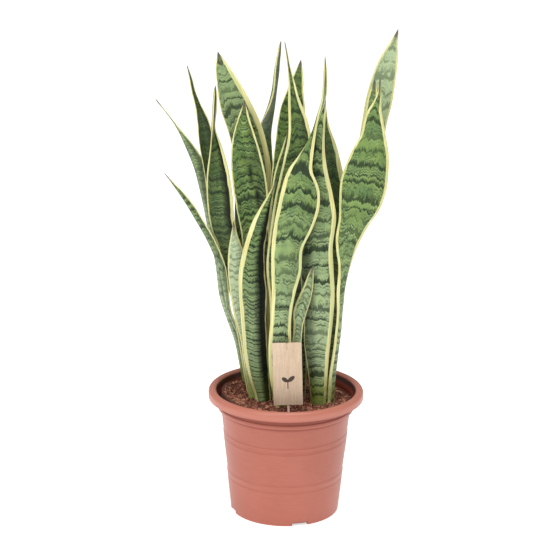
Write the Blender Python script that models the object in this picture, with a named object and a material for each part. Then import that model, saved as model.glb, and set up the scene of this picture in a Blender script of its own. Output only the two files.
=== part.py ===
"""Potted snake plant: a clump of variegated sword leaves on one rhizome, in soil, in a plastic nursery pot.

Metres, +Z up. The origin is the centre of the pot's base, which rests on the ground.
Azimuth 0 looks along +Y, so the plant's front, with its label, faces -Y.
"""
import math

import bmesh
import bpy
import numpy as np
from mathutils import Vector

MM = 0.001

# Pot: a turned thin wall with a rolled lip that is open underneath.
POT_HEIGHT = 172 * MM
LIP_RADIUS = 104.5 * MM
LIP_OVERHANG = 12.7 * MM          # how far the lip stands out from the neck
NECK_STEP = 4.6 * MM              # how far the neck stands out from the tapered body's top
TAPER = 14.4 * MM                 # how far the body draws in from its top to its foot
NECK_HEIGHT = 13 * MM
LIP_HEIGHT = 12.8 * MM
LIP_WALL = 2.0 * MM
WALL = 1.8 * MM
FLOOR = 2.8 * MM
POT_SEGMENTS = 72
DRAIN_WIDTH = 22 * MM
DRAIN_HEIGHT = 5 * MM
DRAIN_REACH = 13 * MM             # how far a drain notch runs in from the foot's edge
DRAIN_ANGLES = (-73, 17, 107, 197)

# Soil, and the pockets that the leaves, the label's stake and the rhizome stand in.
SOIL_BELOW_RIM = 16 * MM
CLEARANCE = 0.35 * MM             # between neighbours that touch
PLANTED = 16 * MM                 # how deep a leaf goes into the soil
POCKET_SLACK = 1.0 * MM           # a pocket is this much wider than its leaf at each edge

# Leaves.
FOOT_THICKNESS = 5.0 * MM
BLADE_THICKNESS = 2.8 * MM
FOOT_STRETCH = 70 * MM            # height over which a leaf thins from its foot to its blade
RING_SPACING = 34 * MM
RING_TURN = 12                    # degrees that a blade turns between two rings, at most
SHOULDER_THICKNESS = 0.68         # of the middle's, halfway out to a leaf's edge
TABLE_RADIUS = 89.1 * MM          # the soil's radius that the leaf table was laid out for

# Rhizome.
RHIZOME_RADIUS = 9.5 * MM
RHIZOME_SIDES = 10

# Label.
CARD_WIDTH = 38.7 * MM
CARD_HEIGHT = 86.5 * MM
CARD_THICKNESS = 0.8 * MM
CARD_LIFT = 12.5 * MM             # from the soil to the card's lower edge
CARD_FROM_WALL = 29 * MM
CARD_SHIFT = 3.7 * MM
CARD_TILT = math.radians(2.2)
SLOT_WIDTH = 1.6 * MM
SLOT_DEPTH = 9 * MM
STAKE_WIDTH = 3.0 * MM
STAKE_THICKNESS = 1.2 * MM
STAKE_PLANTED = 30 * MM
STAKE_BELOW_TOP = 1.5 * MM        # from the card's upper edge to the stake's top

# What follows from those sizes.
NECK_RADIUS = LIP_RADIUS - LIP_OVERHANG
SHOULDER_RADIUS = NECK_RADIUS - NECK_STEP
FOOT_RADIUS = SHOULDER_RADIUS - TAPER
SHOULDER_HEIGHT = POT_HEIGHT - LIP_HEIGHT - NECK_HEIGHT - 2 * MM
SOIL_TOP = POT_HEIGHT - SOIL_BELOW_RIM
SOIL_RADIUS = NECK_RADIUS - WALL - CLEARANCE - 0.5 * MM
SPREAD = SOIL_RADIUS / TABLE_RADIUS
RHIZOME_DEPTH = PLANTED + RHIZOME_RADIUS + CLEARANCE

# Each leaf: its cup (the share of its width that its edges stand forward of its middle, negative
# where its back is turned to the front), then one row for each point of its midline, from the
# foot to the tip: height above the soil, x, y, width (all in mm) and the turn of its face from
# the front, in degrees. The width of the last row is the tip's, zero.
LEAVES = {
    "leaf_front_left": (-0.20, (
        (0, -31, -11, 22, -10), (54, -40, -15, 31, -10), (88, -43, -18, 33, -8),
        (120, -45, -20, 34, -6), (152, -46, -22, 37, -4), (184, -47, -22, 34, 0),
        (216, -44, -21, 27, 0), (250, -36, -20, 21, 0), (280, -26, -18, 9, 0),
        (308, -15, -16, 0, 0))),
    "leaf_short_left": (-0.14, (
        (0, -42, 0, 16, 0), (45, -46, -2, 21, 0), (84, -50, -3, 24, 0), (120, -58, -3, 24, 0),
        (152, -63, -4, 26, 0), (180, -66, -4, 26, 0), (208, -69, -4, 19, 0),
        (228, -71, -4, 9, 0), (248, -72, -4, 0, 0))),
    "leaf_creased_left": (0.14, (
        (0, -29, 9, 18, 0), (70, -35, 9, 24, 0), (135, -40, 10, 30, 0), (228, -43, 14, 38, 0),
        (298, -52, 18, 45, 0), (325, -56, 20, 41, 0), (351, -59, 22, 32, 0),
        (379, -60, 24, 16, 0), (404, -59, 26, 0, 0))),
    "leaf_twisted_left": (0.12, (
        (0, -45, 22, 16, 0), (64, -53, 20, 20, 0), (131, -62, 19, 25, 0), (200, -76, 20, 28, 0),
        (239, -87, 21, 33, 0), (278, -91, 22, 34, 0), (310, -94, 22, 29, 12),
        (341, -97, 22, 21, 45), (361, -100, 22, 20, 76), (391, -99, 22, 19, 80),
        (411, -98, 22, 12, 76), (424, -97, 22, 0, 76))),
    "leaf_tall_left": (0.12, (
        (0, -23, 21, 20, 0), (76, -33, 26, 28, 0), (186, -43, 31, 46, 0), (240, -46, 33, 50, 0),
        (280, -46, 36, 50, 0), (334, -51, 40, 46, 0), (367, -60, 42, 45, -5),
        (391, -70, 43, 42, -8), (424, -82, 45, 29, -10), (446, -90, 46, 16, -10),
        (464, -95, 46, 0, -10))),
    "leaf_low_left": (-0.14, (
        (0, -44, 42, 12, -70), (72, -62, 38, 14, -70), (113, -78, 29, 15, -66),
        (160, -85, 17, 17, -60), (182, -89, 13, 18, -55), (217, -103, 10, 17, -50),
        (251, -122, 9, 15, -50), (276, -138, 9, 10, -50), (309, -164, 9, 0, -50))),
    "leaf_back_left": (0.12, (
        (0, -33, 32, 16, 0), (74, -47, 36, 20, 0), (127, -60, 43, 22, 0), (223, -82, 48, 24, 0),
        (272, -94, 50, 26, 0), (314, -104, 52, 22, 0), (344, -110, 53, 20, 0),
        (371, -115, 54, 15, 0), (389, -121, 54, 9, 25), (407, -127, 54, 7, 50),
        (425, -131, 54, 6, 60), (445, -136, 54, 0, 60))),
    "leaf_outer_left": (-0.14, (
        (0, -56, 54, 13, -60), (61, -67, 58, 18, -60), (125, -88, 62, 22, -60),
        (165, -93, 64, 23, -60), (217, -104, 66, 21, -60), (279, -117, 69, 22, -58),
        (307, -123, 70, 22, -42), (329, -133, 71, 15, -40), (357, -150, 72, 4, -40),
        (395, -179, 72, 0, -40))),
    "leaf_rear_left": (0.12, (
        (0, -18, 57, 18, 0), (120, -38, 63, 27, 0), (259, -44, 77, 33, 0), (330, -43, 84, 20, 0),
        (372, -44, 86, 0, 0))),
    "leaf_turned_centre": (0.12, (
        (0, -10, 36, 18, 0), (127, -32, 45, 30, 5), (262, -34, 56, 37, 20), (316, -37, 62, 37, 45),
        (351, -35, 66, 38, 60), (368, -31, 67, 37, 66), (386, -26, 68, 35, 75),
        (404, -22, 68, 30, 80), (440, -18, 68, 20, 76), (466, -14, 68, 8, 70),
        (476, -12, 68, 0, 70))),
    "leaf_back_centre": (0.12, (
        (0, 16, 10, 22, 0), (60, 12, 12, 32, 0), (109, 6, 15, 38, 0), (192, -2, 17, 40, 0),
        (247, -4, 18, 41, 0),
        (305, -2, 21, 41, 0), (356, 2, 24, 39, 0), (375, 3, 26, 37, 0), (402, 5, 27, 29, 0),
        (416, 7, 28, 22, 0), (437, 11, 29, 13, 0), (458, 14, 31, 0, 0))),
    "leaf_slim_centre": (0.12, (
        (0, -12, -4, 12, 0), (85, -14, -1, 16, 0), (170, -13, 1, 20, 0), (263, -12, 2, 23, 0),
        (307, -9, 3, 21, 0), (328, -6, 3, 17, 0), (341, -5, 3, 11, 0), (356, -3, 3, 6, 0),
        (371, -2, 3, 0, 0))),
    "leaf_tall_centre": (0.12, (
        (0, -4, -21, 22, 0), (89, -4, -18, 34, 0), (145, -1, -15, 45, 0), (189, -2, -13, 52, 0),
        (233, 2, -12, 52, 0), (279, 7, -10, 50, 0), (333, 13, -8, 40, 0), (368, 13, -6, 29, 0),
        (398, 8, -4, 20, 0), (411, 5, -3, 15, 0), (431, 2, -2, 9, 10), (446, -1, -1, 6, 40),
        (471, -5, 0, 4, 60), (488, -8, 0, 0, 60))),
    "leaf_front_centre": (-0.08, (
        (0, -5, -32, 20, 0), (40, -8, -40, 27, 0), (87, -9, -47, 30, 0), (130, -8, -51, 27, 0),
        (166, -5, -53, 31, 0), (195, -2, -53, 39, 0), (227, -1, -53, 41, 0), (257, 7, -52, 50, 0),
        (280, 13, -51, 53, 0), (302, 15, -49, 49, 0), (320, 14, -47, 38, -12),
        (337, 18, -46, 29, -40), (353, 23, -45, 27, -62), (369, 28, -43, 26, -80),
        (397, 36, -41, 24, -95), (421, 43, -38, 21, -105), (453, 44, -34, 14, -106),
        (475, 44, -31, 0, -106))),
    "leaf_young_centre": (-0.12, (
        (0, 15, -25, 11, 0), (64, 13, -33, 12, 0), (102, 14, -37, 12, 0), (118, 15, -38, 13, 0),
        (130, 16, -39, 17, 0), (151, 22, -40, 17, 0), (168, 27, -40, 13, 0),
        (184, 30, -40, 8, 0), (201, 34, -40, 0, 0))),
    "leaf_front_right": (-0.14, (
        (0, 44, -22, 21, 8), (34, 43, -24, 25, 8), (92, 41, -27, 36, 6), (124, 42, -28, 39, 4),
        (155, 41, -29, 43, 0), (218, 37, -30, 43, 0), (265, 41, -29, 42, 0), (291, 40, -28, 34, 0),
        (329, 37, -26, 23, 0), (350, 37, -24, 18, 0), (384, 40, -20, 12, 0), (401, 43, -18, 8, 0),
        (420, 46, -16, 0, 0))),
    "leaf_shaded_right": (0.12, (
        (0, 48, 2, 20, 0), (64, 55, 4, 23, 0), (138, 62, 6, 28, 0), (221, 57, 6, 39, 0),
        (275, 57, 6, 41, 0), (312, 55, 5, 32, 0), (348, 52, 3, 20, 0), (377, 47, 0, 9, 0),
        (409, 46, -3, 0, 0))),
    "leaf_broad_right": (-0.12, (
        (0, 61, -11, 15, 60), (38, 63, -13, 16, 60), (90, 68, -18, 16, 60), (138, 71, -21, 16, 60),
        (161, 72, -23, 17, 50), (197, 76, -26, 21, 30), (229, 78, -28, 32, 5),
        (254, 85, -29, 40, 0), (277, 92, -30, 54, 0), (303, 97, -31, 61, 0), (331, 102, -31, 55, 0),
        (348, 105, -31, 48, 0), (372, 108, -30, 32, 0), (389, 108, -29, 25, 0),
        (401, 109, -28, 19, 0), (413, 112, -27, 11, 0), (423, 114, -26, 6, 0),
        (445, 115, -25, 0, 0))),
    "leaf_slim_right": (0.12, (
        (0, 54, 15, 12, 0), (82, 60, 14, 16, 0), (150, 66, 14, 20, 0), (207, 78, 13, 22, 0),
        (267, 93, 13, 25, 0), (321, 103, 14, 25, 0), (380, 107, 15, 22, 0), (398, 108, 16, 17, 0),
        (410, 108, 16, 13, 0), (422, 109, 16, 9, 0), (437, 110, 16, 0, 0))),
    "leaf_tallest_right": (0.12, (
        (0, 46, 27, 18, 0), (132, 63, 29, 22, 0), (201, 77, 31, 25, 0), (261, 94, 34, 31, 0),
        (314, 105, 40, 34, 0), (372, 112, 46, 33, 0), (398, 117, 48, 35, 0), (428, 123, 51, 32, 0),
        (452, 129, 53, 25, 0), (470, 134, 55, 15, 0), (495, 141, 57, 0, 0))),
}

# The rhizome's middle line, in mm, in plan.
RHIZOME_LINE = ((-42, 28), (-34, 12), (-14, -6), (12, -8), (34, -2), (54, 2))


def clear_scene():
    for thing in list(bpy.data.objects):
        bpy.data.objects.remove(thing)


def finish(name):
    """One Principled material, named for what the piece is made of."""
    colour, roughness = {
        "pot_polypropylene": ((0.56, 0.17, 0.12), 0.5),
        "potting_soil": ((0.12, 0.05, 0.04), 0.95),
        "leaf": ((0.12, 0.26, 0.09), 0.4),
        "rhizome": ((0.55, 0.42, 0.22), 0.7),
        "kraft_card": ((0.72, 0.53, 0.39), 0.8),
        "stake_birch": ((0.78, 0.66, 0.52), 0.7),
    }[name]
    material = bpy.data.materials.get(name) or bpy.data.materials.new(name)
    material.use_nodes = True
    shader = material.node_tree.nodes["Principled BSDF"]
    shader.inputs["Base Color"].default_value = (*colour, 1.0)
    shader.inputs["Roughness"].default_value = roughness
    return material


def add_piece(name, mesh, material, parent=None):
    piece = bpy.data.objects.new(name, mesh)
    bpy.context.scene.collection.objects.link(piece)
    if material:
        mesh.materials.append(finish(material))
        mesh.shade_smooth()
        mesh.set_sharp_from_angle(angle=math.radians(35))
    else:
        piece.hide_render = True
        piece.display_type = "WIRE"
    piece.parent = parent
    return piece


def cut(piece, cutter):
    boolean = piece.modifiers.new("cut_" + cutter.name, "BOOLEAN")
    boolean.operation = "DIFFERENCE"
    boolean.solver = "EXACT"
    boolean.object = cutter


def weld(piece):
    """Joins the points that its cuts left a hair apart."""
    modifier = piece.modifiers.new("weld", "WELD")
    modifier.merge_threshold = 0.01 * MM


def loft(name, rings, tip=None):
    """A closed mesh through rings of equal length; it ends in a flat cap, or in the tip.

    The diagonals on a ring's second half mirror those on its first, so that the front and back of a
    thin twisted blade stay parallel.
    """
    shape = bmesh.new()
    loops = [[shape.verts.new(point) for point in ring] for ring in rings]
    count = len(loops[0])
    for lower, upper in zip(loops, loops[1:]):
        for i in range(count):
            j = (i + 1) % count
            a, b, c, d = (lower[i], lower[j], upper[j], upper[i])
            if i >= count // 2:
                a, b, c, d = b, c, d, a
            shape.faces.new((a, b, c))
            shape.faces.new((a, c, d))
    shape.faces.new(loops[0])
    if tip is None:
        shape.faces.new(loops[-1])
    else:
        point = shape.verts.new(tip)
        for i in range(count):
            shape.faces.new((loops[-1][i], loops[-1][(i + 1) % count], point))
    bmesh.ops.recalc_face_normals(shape, faces=shape.faces)
    mesh = bpy.data.meshes.new(name)
    shape.to_mesh(mesh)
    shape.free()
    return mesh


def turned(name, outline):
    """A closed outline of (radius, height) pairs, which starts and ends on the axis, turned round Z."""
    shape = bmesh.new()
    points = [shape.verts.new((radius, 0, height)) for radius, height in outline]
    edges = [shape.edges.new(pair) for pair in zip(points, points[1:])]
    bmesh.ops.spin(shape, geom=points + edges, axis=(0, 0, 1), cent=(0, 0, 0), angle=2 * math.pi,
                   steps=POT_SEGMENTS, use_merge=False)
    bmesh.ops.remove_doubles(shape, verts=shape.verts, dist=0.01 * MM)
    bmesh.ops.recalc_face_normals(shape, faces=shape.faces)
    mesh = bpy.data.meshes.new(name)
    shape.to_mesh(mesh)
    shape.free()
    return mesh


def box(name, low, high):
    """A box between two corners."""
    corners = [(x, y) for x, y in ((0, 0), (1, 0), (1, 1), (0, 1))]
    rings = []
    for z in (low[2], high[2]):
        rings.append([(low[0] + (high[0] - low[0]) * i, low[1] + (high[1] - low[1]) * j, z)
                      for i, j in corners])
    return loft(name, rings)


# ---------------------------------------------------------------- pot

def body_radius(height):
    """Outside radius of the tapered body at a height."""
    return FOOT_RADIUS + (SHOULDER_RADIUS - FOOT_RADIUS) * height / SHOULDER_HEIGHT


def pot_outline():
    """Outside from the axis up to the lip, over it, and down the inside to the axis."""
    neck_foot = SHOULDER_HEIGHT + 2.5 * MM
    neck_top = neck_foot + NECK_HEIGHT - 2 * MM
    bevel = 2 * MM
    # The lip is half a rounded strip: one arc outside and a smaller one inside.
    lip_inner = NECK_RADIUS + 3 * MM
    middle = (LIP_RADIUS + lip_inner - LIP_WALL) / 2
    outer_arc = (LIP_RADIUS - (lip_inner - LIP_WALL)) / 2
    inner_arc = outer_arc - LIP_WALL
    spring = POT_HEIGHT - outer_arc
    under = [(middle - inner_arc * math.cos(a), spring + inner_arc * math.sin(a))
             for a in np.radians((0, 45, 90, 135, 180))]
    over = [(middle + outer_arc * math.cos(a), spring + outer_arc * math.sin(a))
            for a in np.radians((0, 30, 60, 90, 120, 150, 180))]
    skirt = POT_HEIGHT - LIP_HEIGHT
    return [
        (0, 0),
        (FOOT_RADIUS - bevel, 0),
        (body_radius(bevel), bevel),
        (SHOULDER_RADIUS, SHOULDER_HEIGHT),
        (NECK_RADIUS - 1 * MM, SHOULDER_HEIGHT + 0.8 * MM),
        (NECK_RADIUS, neck_foot),
        (NECK_RADIUS, neck_top),
        *under,
        (LIP_RADIUS - LIP_WALL, skirt + 0.6 * MM),
        (LIP_RADIUS - LIP_WALL / 2, skirt),
        (LIP_RADIUS - 0.3 * MM, skirt + 0.8 * MM),
        *over,
        (NECK_RADIUS - WALL, neck_top - 1 * MM),
        (NECK_RADIUS - WALL, neck_foot + 0.5 * MM),
        (SHOULDER_RADIUS - WALL, SHOULDER_HEIGHT + 0.3 * MM),
        (body_radius(FLOOR) - WALL, FLOOR),
        (0, FLOOR),
    ]


def make_pot(parent):
    pot = add_piece("pot", turned("pot", pot_outline()), "pot_polypropylene", parent)
    for number, angle in enumerate(DRAIN_ANGLES):
        low = (FOOT_RADIUS - DRAIN_REACH, -DRAIN_WIDTH / 2, -2 * MM)
        high = (FOOT_RADIUS + 8 * MM, DRAIN_WIDTH / 2, DRAIN_HEIGHT)
        notch = add_piece(f"drain_cutter_{number}", box("drain_cutter", low, high), None, parent)
        notch.rotation_euler.z = math.radians(angle - 90)
        cut(pot, notch)
    return pot


# ---------------------------------------------------------------- leaves

def smooth_rows(rows):
    """Rows read from a smooth curve through the given ones, closer together where they are far apart."""
    rows = np.array(rows, float)
    steps = np.linalg.norm(np.diff(rows[:, :3], axis=0), axis=1)
    at = np.concatenate([[0], np.cumsum(steps)])
    slope = np.gradient(rows, at, axis=0)
    found = []
    for i, step in enumerate(steps):
        turn = abs(rows[i + 1, 4] - rows[i, 4])
        parts = max(1, round(step / (RING_SPACING / MM)), round(turn / RING_TURN))
        for part in range(parts):
            t = part / parts
            found.append((2 * t**3 - 3 * t**2 + 1) * rows[i] + (t**3 - 2 * t**2 + t) * step * slope[i]
                         + (3 * t**2 - 2 * t**3) * rows[i + 1] + (t**3 - t**2) * step * slope[i + 1])
    return found + [rows[-1]]


def blade_section(width, thickness, cup, slack=0.0, gap=0.0):
    """Eight points round a leaf, as (across, forward): its front from left to right, then its back.

    With slack and a gap it is the outline of the pocket that the leaf stands in.
    """
    def at(s, share):
        across = s * (width / 2 + slack)
        middle = cup * width * ((2 * across / width) ** 2 - 1 / 3)
        half = share * thickness / 2 + gap
        return (across, middle + half), (across, middle - half)

    front, back = zip(at(-0.5, SHOULDER_THICKNESS), at(0, 1), at(0.5, SHOULDER_THICKNESS))
    left, right = at(-1, 0), at(1, 0)
    if not gap:
        return [left[0], *front, right[0], *reversed(back)]
    return [*left[::-1], *front, *right, *reversed(back)]


def ring_at(centre, along, turn, section):
    """The section set across a midline that runs along a direction, with its face turned from the front."""
    face = Vector((math.sin(turn), -math.cos(turn), 0))
    across = along.cross(face).normalized()
    forward = across.cross(along).normalized()
    return [centre + across * a + forward * f for a, f in section]


def leaf_thickness(height, width):
    foot = math.exp(-height / FOOT_STRETCH)
    thickness = BLADE_THICKNESS + (FOOT_THICKNESS - BLADE_THICKNESS) * foot
    return min(thickness, 0.3 * width) * SPREAD


def place(row):
    """A table row's point, in metres: heights count from the soil, and the plan follows the soil's radius."""
    return Vector((row[1] * SPREAD, row[2] * SPREAD, row[0])) * MM + Vector((0, 0, SOIL_TOP))


def make_leaf(name, parent):
    cup, rows = LEAVES[name]
    rows = smooth_rows(rows)
    points = [place(row) for row in rows]
    up = Vector((0, 0, 1))
    rings = []
    for i, row in enumerate(rows[:-1]):
        width = max(row[3], 1.2) * MM * SPREAD
        section = blade_section(width, leaf_thickness(row[0] * MM, width), cup)
        along = up if i == 0 else (points[i + 1] - points[i - 1]).normalized()
        rings.append(ring_at(points[i], along, math.radians(row[4]), section))
    planted = [point - up * PLANTED for point in rings[0]]
    return add_piece(name, loft(name, [planted, *rings], points[-1]), "leaf", parent)


def make_pocket(name, parent):
    """The cutter for the pocket in the soil that one leaf's foot stands in."""
    cup, rows = LEAVES[name]
    row = rows[0]
    width = row[3] * MM * SPREAD
    section = blade_section(width, leaf_thickness(0, width), cup, POCKET_SLACK, CLEARANCE)
    ring = ring_at(place(row), Vector((0, 0, 1)), math.radians(row[4]), section)
    bottom = [point - Vector((0, 0, PLANTED + CLEARANCE)) for point in ring]
    top = [point + Vector((0, 0, 10 * MM)) for point in ring]
    return add_piece(name + "_pocket", loft(name + "_pocket", [bottom, top]), None, parent)


# ---------------------------------------------------------------- rhizome and soil

def rhizome_mesh(name, radius, reach):
    """A round bar along the rhizome's line, with its ends drawn in, longer by reach at both ends."""
    line = [Vector((x * SPREAD * MM, y * SPREAD * MM, SOIL_TOP - RHIZOME_DEPTH))
            for x, y in RHIZOME_LINE]
    start = (line[0] - line[1]).normalized()
    end = (line[-1] - line[-2]).normalized()
    line = [line[0] + start * (radius * 0.6 + reach), *line, line[-1] + end * (radius * 0.6 + reach)]
    radii = [radius * 0.6, *[radius] * (len(line) - 2), radius * 0.6]
    rings = []
    for i, point in enumerate(line):
        along = (line[min(i + 1, len(line) - 1)] - line[max(i - 1, 0)]).normalized()
        side = along.cross(Vector((0, 0, 1))).normalized()
        angles = [2 * math.pi * k / RHIZOME_SIDES for k in range(RHIZOME_SIDES)]
        rings.append([point + side * radii[i] * math.cos(a) + Vector((0, 0, radii[i] * math.sin(a)))
                      for a in angles])
    return loft(name, rings)


def make_rhizome(parent):
    return add_piece("rhizome", rhizome_mesh("rhizome", RHIZOME_RADIUS, 0), "rhizome", parent)


def make_soil(parent, label):
    """The soil fills the pot up to its neck, a clearance away from the wall."""
    floor = FLOOR + CLEARANCE
    outline = [
        (0, floor),
        (body_radius(floor) - WALL - 2 * CLEARANCE, floor),
        (SHOULDER_RADIUS - WALL - 2 * CLEARANCE, SHOULDER_HEIGHT),
        (SOIL_RADIUS, SHOULDER_HEIGHT + 4.5 * MM),
        (SOIL_RADIUS, SOIL_TOP - 1.5 * MM),
        (SOIL_RADIUS - 3 * MM, SOIL_TOP),
        (0, SOIL_TOP),
    ]
    soil = add_piece("soil", turned("soil", outline), "potting_soil", parent)
    hollow = rhizome_mesh("rhizome_hollow", RHIZOME_RADIUS + 2 * CLEARANCE, CLEARANCE)
    cut(soil, add_piece("rhizome_hollow", hollow, None, parent))
    for name in LEAVES:
        cut(soil, make_pocket(name, parent))
    cut(soil, add_piece("stake_pocket", stake_mesh("stake_pocket", CLEARANCE), None, label))
    weld(soil)
    return soil


# ---------------------------------------------------------------- label

def label_frame(parent):
    """An empty where the card's lower edge would meet the soil. The card and its stake lean with it."""
    frame = bpy.data.objects.new("label", None)
    bpy.context.scene.collection.objects.link(frame)
    frame.parent = parent
    frame.location = (CARD_SHIFT, CARD_FROM_WALL - SOIL_RADIUS, SOIL_TOP)
    frame.rotation_euler.y = -CARD_TILT
    return frame


def stake_mesh(name, gap=0.0):
    """The stake, or with a gap the pocket that it stands in. It runs up behind the card."""
    top = CARD_LIFT + CARD_HEIGHT - STAKE_BELOW_TOP
    low = (-STAKE_WIDTH / 2 - gap, CLEARANCE - gap, -STAKE_PLANTED - gap)
    high = (STAKE_WIDTH / 2 + gap, CLEARANCE + STAKE_THICKNESS + gap, top + gap)
    return box(name, low, high)


def make_label(label):
    top = CARD_LIFT + CARD_HEIGHT
    card = box("label_card", (-CARD_WIDTH / 2, -CARD_THICKNESS, CARD_LIFT), (CARD_WIDTH / 2, 0, top))
    card = add_piece("label_card", card, "kraft_card", label)
    slot = box("slot_cutter", (-SLOT_WIDTH / 2, -2 * CARD_THICKNESS, top - SLOT_DEPTH),
               (SLOT_WIDTH / 2, CARD_THICKNESS, top + 2 * MM))
    cut(card, add_piece("slot_cutter", slot, None, label))
    add_piece("label_stake", stake_mesh("label_stake"), "stake_birch", label)


def main():
    clear_scene()
    root = bpy.data.objects.new("potted_snake_plant", None)
    bpy.context.scene.collection.objects.link(root)
    make_pot(root)
    make_rhizome(root)
    for name in LEAVES:
        make_leaf(name, root)
    label = label_frame(root)
    make_soil(root, label)
    make_label(label)


main()
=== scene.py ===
"""Looks of a potted snake plant: variegated blades, coir soil, a moulded nursery pot and a card label.

Metres, +Z up, in the frame of the solids. The plant's front, with its label, faces -Y.
"""
import math

import bmesh
import bpy
import numpy as np
from mathutils import Matrix, Vector, noise
from mathutils.bvhtree import BVHTree


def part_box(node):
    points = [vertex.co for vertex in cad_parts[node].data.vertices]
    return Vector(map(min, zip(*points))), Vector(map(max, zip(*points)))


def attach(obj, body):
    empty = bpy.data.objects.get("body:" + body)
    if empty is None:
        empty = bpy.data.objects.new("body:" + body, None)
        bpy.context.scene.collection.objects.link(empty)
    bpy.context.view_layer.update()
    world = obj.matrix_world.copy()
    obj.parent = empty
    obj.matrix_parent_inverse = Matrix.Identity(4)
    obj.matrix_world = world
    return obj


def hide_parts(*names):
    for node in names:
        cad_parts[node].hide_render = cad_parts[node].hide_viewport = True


MM = 0.001
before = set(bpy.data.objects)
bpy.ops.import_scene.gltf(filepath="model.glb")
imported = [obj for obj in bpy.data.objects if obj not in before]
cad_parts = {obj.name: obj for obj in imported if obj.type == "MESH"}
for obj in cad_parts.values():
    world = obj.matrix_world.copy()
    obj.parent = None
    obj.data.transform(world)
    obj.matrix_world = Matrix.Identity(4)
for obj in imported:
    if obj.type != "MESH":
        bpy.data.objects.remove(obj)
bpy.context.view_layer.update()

# Camera: where it stands, how far it looks down and leans, and its lens.
CAMERA_PLACE = (-0.0139, -2.78, 1.15)
CAMERA_DOWN = math.radians(16.5)
CAMERA_LEAN = math.radians(0.7)
CAMERA_LENS = 142.0

# Light: how strongly the floor glows and the surround lights the plant, and each lamp's name, place,
# size in metres and power in watts.
FLOOR_GLOW = 0.62
SURROUND_LIGHT = 0.48
LAMPS = (("key", (-1.4, -1.9, 2.0), 1.2, 27.0), ("top", (0.2, -0.6, 2.6), 1.4, 36.0))
LAMPS_AIM = Vector((0, 0, 0.25))

# Blades.
STATION = 3.6 * MM                # between two cross-sections of a blade
HALF_STEPS = 13                   # quads across each face of a blade
BLADE_SHARE = 0.9                 # of the solid's thickness
MOST_THICK = 0.32                 # of a blade's width, which holds near its point
SMOOTH_OVER = 45 * MM             # length over which a blade's hollow and thickness are evened out
AWL_WIDTH = 2.2 * MM              # of the stiff point that a blade ends in
AWL_TAPER = 0.5                   # of the way left to the tip, which the point's width doesn't pass
SURE_WIDTH = 1.5 * MM             # of a blade, under which its edges no longer give its direction
RIPPLE = 0.6 * MM                 # how far a blade's edges sway
RIPPLE_LENGTHS = (21 * MM, 9 * MM)
RIPPLE_FADES = 60 * MM            # from the tip
MOST_MARGIN = 0.42                # of the half width, for one cream margin

# The shade painted along the lengthwise crease of one leaf: its height above the soil and its reach up
# and down from there in mm, then as shares of the blade's half width its place, its lean inwards per mm
# and its width.
CREASED_LEAF = "leaf_creased_left"
CREASE_MIDDLE = 280
CREASE_REACH = 70
CREASE_PLACE = 0.3375
CREASE_LEAN = 0.0075
CREASE_WIDTH = 0.14

# Pot, measured down from its rim and in from its lip.
POT_STEPS = 192
LIP_DROP = 12.8 * MM
NECK_DROP = 25.3 * MM
SHOULDER_DROP = 27.8 * MM
NECK_INSET = 12.7 * MM
SHOULDER_INSET = 17.3 * MM
FOOT_INSET = 31.7 * MM
LIP_ROLL = 5.7 * MM
WALL = 1.8 * MM
UNDERSIDE_RISE = 1.2 * MM         # of the underside inside its standing ring
FLOOR_RISE = 2.8 * MM             # of the floor inside the pot
LIP_GAP = 1.4 * MM                # between the lip's bead and its roll
RING_HEIGHTS = (48 * MM, 58 * MM, 104 * MM, 113 * MM)
RING_SECTION = ((-4, 0), (-1.3, 0), (-0.7, 0.11), (0, 0.26), (0.5, 0.15), (0.9, 0), (4, 0))
NECK_SECTION = ((2.6, 0.2), (3.1, 0), (3.7, -0.6), (4.6, -0.7))
NOTCHES = 4
FIRST_NOTCH = math.radians(-163)
NOTCH_REACH = 13 * MM
NOTCH_WIDTH = 22 * MM
NOTCH_HEIGHT = 5 * MM
CUT_BEYOND = 8 * MM               # how far a notch's cutter stands out past the foot
CUT_BELOW = 2 * MM                # and below it

# Soil.
BED_RINGS = 60
BED_STEPS = 150
HEAP = 13 * MM
HEAP_TOWARDS = math.radians(185)
LUMPS = (16 * MM, 1.5 * MM)       # how far apart the lumps in its top are, and how high
GRIT = (4 * MM, 0.9 * MM)
CRUMBS_PER_M2 = 190000
CRUMB_SIZES = (0.45 * MM, 3.3 * MM)
FIBRES_PER_M2 = 12000
FIBRE_LENGTH = 12 * MM
FIBRE_THICKNESS = 0.14 * MM

# Label.
CARD_CORNER = 0.8 * MM
SLOT_WIDTH = 1.6 * MM
SLOT_DEPTH = 9 * MM
MARK_RISE = 32 * MM               # from the card's lower edge to the middle of the printed sprout
MARK_SIZE = 19 * MM
INK_LIFT = 0.03 * MM
STAKE_POINT = 5 * MM              # length over which the stake's foot tapers
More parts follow.
